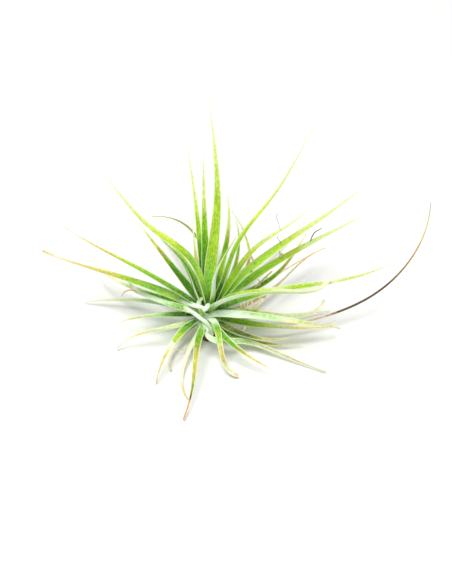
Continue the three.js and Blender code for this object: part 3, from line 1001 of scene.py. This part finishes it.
    dry: tuple[Leaf, ...] = (
        Leaf("dry_1", 43, 2.4, ((-20, 37), (-10, 44), (-8, 48)), DriedLeaf(
             "OLIVE 40, YELLOW 55, PALE 80, CREAM 100")),
        Leaf("dry_2", 64, 2.2, ((-2, 22), (-10, 37), (-43, 6), (-94, -5)), DriedLeaf(
             "OLIVE 80, YELLOW 100")),
        Leaf("dry_3", 73, 2, ((64, -11), (51, 2), (41, 9), (57, -6)), DriedLeaf(
             "TAN 0, SAND 30, BUTTER 45, CREAM 60, STRAW 75")),
        Leaf("dry_4", 67, 2, ((50, -1), (48, -2), (50, -1)), DriedLeaf(
             "TAN 0, STRAW 30, BUTTER 45, CREAM 60, STRAW 80")),
        Leaf("dry_5", 140, 1.5, ((98, -15), (80, 1), (69, 14), (44, 28), (5, 41)), DriedLeaf(
             "STRAW 0, PINK 36, UMBER 44, UMBER 66, TAN 80, YELLOW 90, GREY 100"), taper=0.35),
        Leaf("dry_6", 44, 2.4, ((-147, -22), (-157, -18), (-179, -11), (-213, 1)), DriedLeaf(
             "SHEATH 0, PALE 25, CREAM 40, CREAM 70, STRAW 85"), taper=0.5, tip_width=0.7),
        Leaf("dry_7", 31, 2, ((-109, -25), (-149, -16), (-198, -14)), DriedLeaf(
             "WILLOW 0, BUTTER 30, CREAM 50, IVORY 70, CREAM 85, STRAW 100"), taper=0.3,
             tip_width=1.2),
        Leaf("dry_8", 20, 1.8, ((-154, -44), (-125, -14), (-85, 22)), DriedLeaf(
             "SHEATH 0, CREAM 40")),
    )

    def build(self) -> list[bpy.types.Object]:
        """Makes and dresses every leaf, row by row.

        Returns:
            The leaves, in the same order.
        """
        leaves = [leaf for row in vars(self).values() for leaf in row]
        for leaf in leaves:
            leaf.build()
            leaf.dress()
        return [leaf.piece for leaf in leaves]


@dataclass
class Skirt:
    """Stubs of old white leaf sheaths that clothe the crown below the living leaves.

    The stubs sit on a spiral from the bearing first, a turn apart, and droop from the rise
    highest to the rise lowest. Their lengths go through lengths in turn, and bends is how far
    each of a stub's headings turns and falls from its first.
    """

    count: int = 14
    first: float = 20.0
    turn: float = 137.5
    highest: float = -8.0
    lowest: float = -56.0
    lengths: tuple[float, ...] = (2.5, 3.5, 4.5)
    width: float = 3.2
    bends: tuple[tuple[float, float], ...] = ((0, 0), (6, -14), (14, -40))

    def build(self) -> list[bpy.types.Object]:
        """Sets the stubs on the spiral, each a short leaf that droops more the lower it sits.

        Returns:
            The stubs, from the top down.
        """
        finish = LivingLeaf(OLD_SHEATH, 0.2, margin=0.2, groove=0.1)
        made = []
        for place in range(self.count):
            bearing = (place * self.turn + self.first) % 360.0 - 180.0
            rise = self.highest + (self.lowest - self.highest) * place / self.count
            headings = tuple((bearing + across, rise + down) for across, down in self.bends)
            stub = Leaf(f"stub_{place + 1}", self.lengths[place % len(self.lengths)], self.width,
                        headings, finish, taper=0.5, tip_width=1.6, fold=(0.5, 0.3),
                        solid=False)
            stub.build()
            stub.dress()
            made.append(stub.piece)
        return made


@dataclass
class Wisps:
    """The sheath flaps around the hollow, and the dead shreds and curls among the leaves."""

    strips: tuple[Wisp, ...] = (
        Wisp("heart_sheath", ((-15, 1.1, 25), (-11, -1.3, 25.6), (-7.4, -3.4, 26),
             (-4.4, -4.8, 26.2), (-1.7, -5.9, 26)), (1.6, 2.5, 2), OLD_SHEATH, fold=-0.5,
             thickness=0.5, silver=0.4),
        Wisp("heart_flap", ((-4.8, -3.8, 26), (-4.6, -2.9, 27.4), (-3.9, -2.2, 28.6),
             (-2.8, -1.6, 29), (-2.1, -1.5, 28.8)), (2.4, 1.9, 1.1), PALE_FLAP, fold=0.5,
             silver=0.1),
        Wisp("clasping_sheath", ((-13.5, -2.5, 24), (-9.9, -5.3, 24.4), (-6.4, -7.4, 23.6),
             (-3.4, -8.9, 22), (-0.7, -9.8, 20), (1.4, -10.1, 16.5), (2.8, -10.6, 13)),
             (1.6, 2.1, 1.3), "SILVER 0, SHEATH 20, SHEATH 60, SILVER 100", fold=-0.5,
             thickness=0.5, silver=0.5),
        Wisp("heart_nub", ((-2.4, -7.1, 25.2), (-1.2, -6.6, 26.6), (0, -5.8, 27.8),
             (0.8, -5, 28.8)), (2.1, 2.5, 2.3), "SHEATH 60, SILVER 100", fold=-0.8, thickness=1.2,
             silver=0.4),
        Wisp("heart_channel", ((-4.4, -5.3, 25.4), (-3.2, -6.9, 24.6), (-1.6, -8.5, 23)),
             (1.5, 2, 1.3), "LEAF 0, DEEP 50, MOSS 100", fold=0.6, silver=0.3),
        Wisp("front_patch", ((-2.7, -8, 19), (-1.3, -9.5, 17), (0.3, -10.7, 14.6)), (1.2, 2.2, 1),
             OLD_SHEATH, fold=-0.3, silver=0.25),
        Wisp("leaning_straw", ((3.9, 13, 13), (14.1, 13, 14.5), (20.2, 14.8, 17),
             (24.2, 15.1, 20.6), (26.2, 16, 22.5), (29.5, 16.1, 27), (32.6, 13, 34)),
             (1.2, 1, 0.8), DEAD_THREAD),
        Wisp("straw_fork_low", ((25.3, 15.4, 25.5), (25.9, 15.6, 23.6), (26.2, 15.8, 22),
             (25.8, 14.6, 21.5)), (0.5, 0.6, 0.6), BROKEN_THREAD),
        Wisp("straw_fork_high", ((29.4, 16.1, 27), (29.7, 17.3, 24.5), (29.9, 18.2, 21.9)),
             (0.6, 0.5, 0.4), BROKEN_THREAD),
        Wisp("tangle_long", ((29, 2.9, 28), (28.1, 1.2, 26.6), (26.9, 0, 25.4), (25.7, -1.2, 24.6),
             (24.2, -2.7, 23.6), (22.6, -3.8, 22.9)), (1, 1.1, 0.9), DEAD_THREAD),
        Wisp("tangle_side", ((25.7, 0.4, 28.4), (26.1, -0.2, 26.6), (25.8, -1, 24.9),
             (25, -2, 23.5), (23.5, -3.9, 22.7)), (0.9, 0.9, 0.7), DEAD_THREAD),
        Wisp("tangle_cross", ((25.1, -1.3, 25), (24, -1.5, 24.2), (22.8, -1.7, 23.4),
             (22.1, -2.7, 22.8)), (0.7, 0.8, 0.7), DEAD_THREAD),
        Wisp("tangle_post", ((21.9, -0.5, 27.3), (22, -1.2, 25.6), (22.3, -2, 23.9),
             (22.6, -3.2, 22.8)), (0.9, 1, 0.8), DEAD_THREAD),
        Wisp("tangle_loop", ((20.8, -0.6, 26.9), (20, -1.3, 25.2), (19.6, -1.9, 23.8),
             (19.8, -2.9, 22.7)), (0.7, 0.7, 0.6), DEAD_THREAD),
        Wisp("tangle_stub_near", ((18, -0.9, 25.9), (18.2, -1.8, 24.8), (18, -2.5, 22.4)),
             (0.7, 0.9, 0.8), BROKEN_THREAD),
        Wisp("tangle_stub_far", ((16.5, -1, 25.4), (16.6, -1.8, 24.4), (16.5, -2.5, 22.1)),
             (0.7, 0.9, 0.8), BROKEN_THREAD),
        Wisp("shred_between", ((21.4, 9.7, 48.4), (21.8, 10.6, 45.4), (22.5, 12.1, 42),
             (23.4, 13.1, 39)), (0.7, 0.9, 0.7), BROKEN_THREAD),
        Wisp("shred_upright", ((36.7, 21.4, 34.8), (36.3, 19.8, 38.4), (35.6, 17, 43.6)),
             (0.8, 0.9, 0.5), BROKEN_THREAD),
        Wisp("shred_crossing", ((35.6, 22.1, 35), (36.4, 20.5, 37.6), (37.3, 18.7, 40.6)),
             (0.5, 0.8, 0.5), BROKEN_THREAD),
        Wisp("rim_flake", ((31.1, 16.6, 42.9), (31.3, 16, 44.3), (31.7, 16.1, 44.4)),
             (0.6, 1, 0.6), "CREAM 0, CREAM 100"),
        Wisp("curl_pale", ((35.8, 17.4, 57), (35.4, 18.9, 58.6), (34.8, 20.7, 60),
             (33.9, 22.8, 61), (33.9, 24, 61.4), (34.7, 24.9, 61.6)), (0.3, 0.3, 0.35), GREY_CURL),
        Wisp("curl_thin", ((36.7, 19.2, 46.2), (35.8, 20.1, 47.6), (34.8, 21.3, 48.2),
             (34.6, 22.6, 48.6)), (0.35, 0.35, 0.3), GREY_CURL),
        Wisp("curl_dark", ((51.6, 28.2, 39.7), (52.1, 28.8, 41.6), (53.2, 30.3, 43),
             (54.6, 31.2, 44), (56.1, 31.5, 44.8), (57.5, 32.2, 45.2)), (0.5, 0.55, 0.4),
             "OLIVE 0, UMBER 40, GREY 100"),
        Wisp("curl_orange", ((-36, 11, 20.8), (-38.9, 13.1, 20), (-41.1, 14.1, 18.6),
             (-42.9, 14.3, 17), (-44.2, 13.6, 15)), (0.7, 0.7, 0.4),
             "CREAM 0, STRAW 50, PEACH 100"),
        Wisp("tip_stub", ((60.3, -9.6, 17.6), (62.3, -8.1, 17.6), (64.1, -5.4, 17.2)),
             (1, 0.9, 0.6), "BUTTER 0, CREAM 100"),
        Wisp("bridging_bit", ((19, -7, 15.4), (18.5, -7.6, 14), (17.7, -8.2, 12.3)), (0.8, 1, 0.7),
             "CREAM 0, BUTTER 100"),
    )

    def build(self) -> list[bpy.types.Object]:
        """Makes and dresses every strip.

        Returns:
            The strips, in the same order.
        """
        for strip in self.strips:
            strip.build()
            strip.dress()
        return [strip.piece for strip in self.strips]


@dataclass
class Stem:
    """The woody stem with its swollen crown, wrapped in the stubs of old leaf bases.

    proud is how far the bases stand out, hollow how deep the crown's top is drawn down, and
    inset how far the skin stays inside the solid's, as a share of the radius. There are no
    bases on the lowest part, up to bare_foot, nor where the stem is thinner than bare_top.
    Each of the two spirals has its count of bases round the stem, and its rise for each.
    """

    rows: int = 72
    points_round: int = 96
    proud: float = 0.35
    hollow: float = 6.5
    inset: float = 0.02
    thinnest: float = 0.02
    bare_foot: float = 2.0
    bare_top: float = 1.0
    spirals: tuple[tuple[int, float], ...] = ((5, 3.2), (8, -3.6))

    def rings(self) -> np.ndarray:
        """The stem's skin: foot, neck and crown turned about the axis, with shingled bases.

        The radius follows the neck, then the crown's ellipse. The bases are tiles on a lattice
        of two spirals, where the height is the product of the spirals' sines. The crown's top
        is drawn down into the hollow between the youngest leaves.

        Returns:
            The rings' points.
        """
        step = np.linspace(0.0, 1.0, self.rows)
        height = (step * (CROWN_CENTRE_Z + CROWN_HALF_HEIGHT))[:, None]
        level = np.clip((height - CROWN_CENTRE_Z) / CROWN_HALF_HEIGHT, -1.0, 1.0)
        crown = CROWN_RADIUS * np.sqrt(np.maximum(0.0, 1 - level ** 2))
        neck = FOOT_RADIUS + (NECK_RADIUS - FOOT_RADIUS) * np.minimum(1.0, height / NECK_Z)
        radius = np.where(height < CROWN_CENTRE_Z, np.maximum(neck, crown), crown)
        turn = np.linspace(0.0, 2 * math.pi, self.points_round, endpoint=False)
        tile = np.ones((1, 1))
        for bases, rise in self.spirals:
            spiral = bases * turn[None, :] / (2 * math.pi) + height / rise
            tile = tile * np.abs(np.sin(spiral * math.pi))
        proud = self.proud * tile * eased(height / self.bare_foot) * (radius > self.bare_top)
        wide = np.maximum(radius * (1 - self.inset) + proud, self.thinnest)
        sunk = height - self.hollow * np.maximum(level, 0.0)
        return np.stack([wide * np.cos(turn), wide * np.sin(turn),
                         np.broadcast_to(sunk, wide.shape)], axis=-1)

    def build(self) -> list[bpy.types.Object]:
        """Makes the stem, dresses it and stands it in for its solid.

        Returns:
            The stem alone.
        """
        piece = skinned("stem_and_crown", self.rings(), {})
        piece.data.materials.append(StemFinish().material("air_plant_stem"))
        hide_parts("stem")
        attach(piece, BODY)
        return [piece]


@dataclass
class Studio:
    """White paper floor, soft lights and the camera, none of which belongs to the plant.

    Each light has its name, its place and its side in millimetres, and its power in watts.
    """

    floor_reach: float = 3000.0
    floor_drop: float = 0.15
    lights: tuple[tuple[str, tuple[float, float, float], float, float], ...] = (
        ("key_light", (-120, -260, 1000), 500, 10.2),
        ("fill_light", (700, 500, 700), 900, 1.2))
    glow: str = "ffffff"
    glow_strength: float = 0.43
    camera_at: tuple[float, float, float] = (9.0, -632.5, 664.3)
    camera_tilt: float = 45.0
    lens: float = 110.96
    sensor: float = 36.0
    nearest: float = 10.0

    def floor(self) -> bpy.types.Object:
        """Lays the floor just under the leaf tips.

        Returns:
            The floor.
        """
        corners = np.array([(-1, -1), (1, -1), (1, 1), (-1, 1)]) * self.floor_reach
        points = np.column_stack([corners, np.full(4, -self.floor_drop)]) * METRES_PER_MM
        mesh = bpy.data.meshes.new("floor")
        mesh.from_pydata(points.tolist(), [], [(0, 1, 2, 3)])
        made = bpy.data.objects.new("floor", mesh)
        mesh.materials.append(FloorFinish().material("background_paper"))
        bpy.context.scene.collection.objects.link(made)
        return made

    def light(self, name: str, at: tuple[float, float, float], size: float,
              power: float) -> bpy.types.Object:
        """Hangs one square soft light that faces the plant.

        Args:
            name: the light's name.
            at: its place in millimetres.
            size: its side in millimetres.
            power: its power in watts.

        Returns:
            The light.
        """
        lamp = bpy.data.lights.new(name, "AREA")
        lamp.shape = "SQUARE"
        lamp.size = size * METRES_PER_MM
        lamp.energy = power
        made = bpy.data.objects.new(name, lamp)
        made.location = [value * METRES_PER_MM for value in at]
        right, back, up = at
        made.rotation_euler = (math.atan2(math.hypot(right, back), up), 0.0,
                               math.atan2(right, -back))
        bpy.context.scene.collection.objects.link(made)
        return made

    def glowing_world(self) -> None:
        """Surrounds the plant with an even white glow."""
        world = bpy.data.worlds.new("studio_white")
        world.use_nodes = True
        background = world.node_tree.nodes["Background"].inputs
        background["Color"].default_value = linear(self.glow)
        background["Strength"].default_value = self.glow_strength
        bpy.context.scene.world = world

    def camera(self) -> bpy.types.Object:
        """Sets the camera at its place, turned down to look at the plant.

        Returns:
            The camera.
        """
        eye = bpy.data.cameras.new("camera")
        eye.sensor_width = self.sensor
        eye.lens = self.lens
        eye.clip_start = self.nearest * METRES_PER_MM
        made = bpy.data.objects.new("camera", eye)
        made.location = [value * METRES_PER_MM for value in self.camera_at]
        made.rotation_euler = (math.radians(self.camera_tilt), 0.0, 0.0)
        bpy.context.scene.collection.objects.link(made)
        bpy.context.scene.camera = made
        return made

    def build(self) -> list[bpy.types.Object]:
        """Sets up the floor, the lights, the surroundings' glow and the camera.

        Returns:
            The floor, the lights and the camera.
        """
        made = [self.floor(), *(self.light(*light) for light in self.lights)]
        self.glowing_world()
        bpy.context.scene.view_settings.view_transform = "Standard"
        return [*made, self.camera()]


def main() -> None:
    """Builds the plant and its studio."""
    logging.basicConfig(level=logging.INFO, format="%(name)s: %(message)s")
    for group in (Stem(), Rosette(), Skirt(), Wisps(), Studio()):
        for piece in group.build():
            LOG.info("%s: %s", type(group).__name__, piece.name)


if __name__ == "__main__":
    main()
